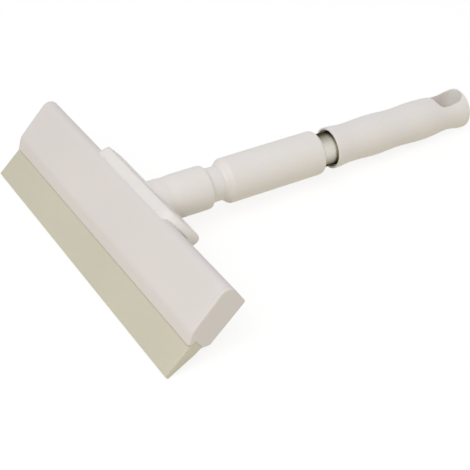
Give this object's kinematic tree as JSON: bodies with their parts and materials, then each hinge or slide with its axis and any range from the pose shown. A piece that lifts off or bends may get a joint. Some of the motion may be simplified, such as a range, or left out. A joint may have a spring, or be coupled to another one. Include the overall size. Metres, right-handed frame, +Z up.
{
  "type": "table squeegee",
  "caption": "Hand squeegee with a wedge blade in a long moulded holder, a neck bracket and a short telescopic handle with a twist lock and a slotted grip.",
  "frame": {"origin": "middle of the footprint, on the table that the blade's edge and the grip's end rest on", "axes": "+X along the head, +Y from the head towards the grip's end, +Z up from the table"},
  "size_m": [0.23, 0.2911, 0.0471],
  "materials": {
    "white_plastic": "satin moulded",
    "cream_rubber": "smooth, slightly translucent",
    "screw_steel": "plain",
    "tube_metal": "drawn, satin",
    "natural_plastic": "plain moulded"
  },
  "bodies": {
    "head": {"head_body": "white_plastic", "end_cap_left": "white_plastic", "end_cap_right": "white_plastic", "blade": "cream_rubber", "neck_saddle": "white_plastic", "saddle_screw_left": "screw_steel", "saddle_screw_right": "screw_steel", "handle_plug": "white_plastic", "inner_tube": "tube_metal", "guide_bush": "natural_plastic"},
    "handle": {"outer_tube": "tube_metal", "lock_collet": "natural_plastic", "tube_stop": "natural_plastic", "grip": "white_plastic"},
    "sleeve": {"twist_sleeve": "white_plastic"}
  },
  "joints": [
    {"name": "handle_slide", "type": "slide", "parent": "head", "child": "handle", "axis": [0, 0.9988, -0.0493], "range_m": [0, 0.115]},
    {"name": "sleeve_twist", "type": "hinge", "parent": "handle", "child": "sleeve", "pos_m": [0, -0.02276, 0.02149], "axis": [0, 0.9988, -0.0493], "range_deg": [0, 120]}
  ]
}
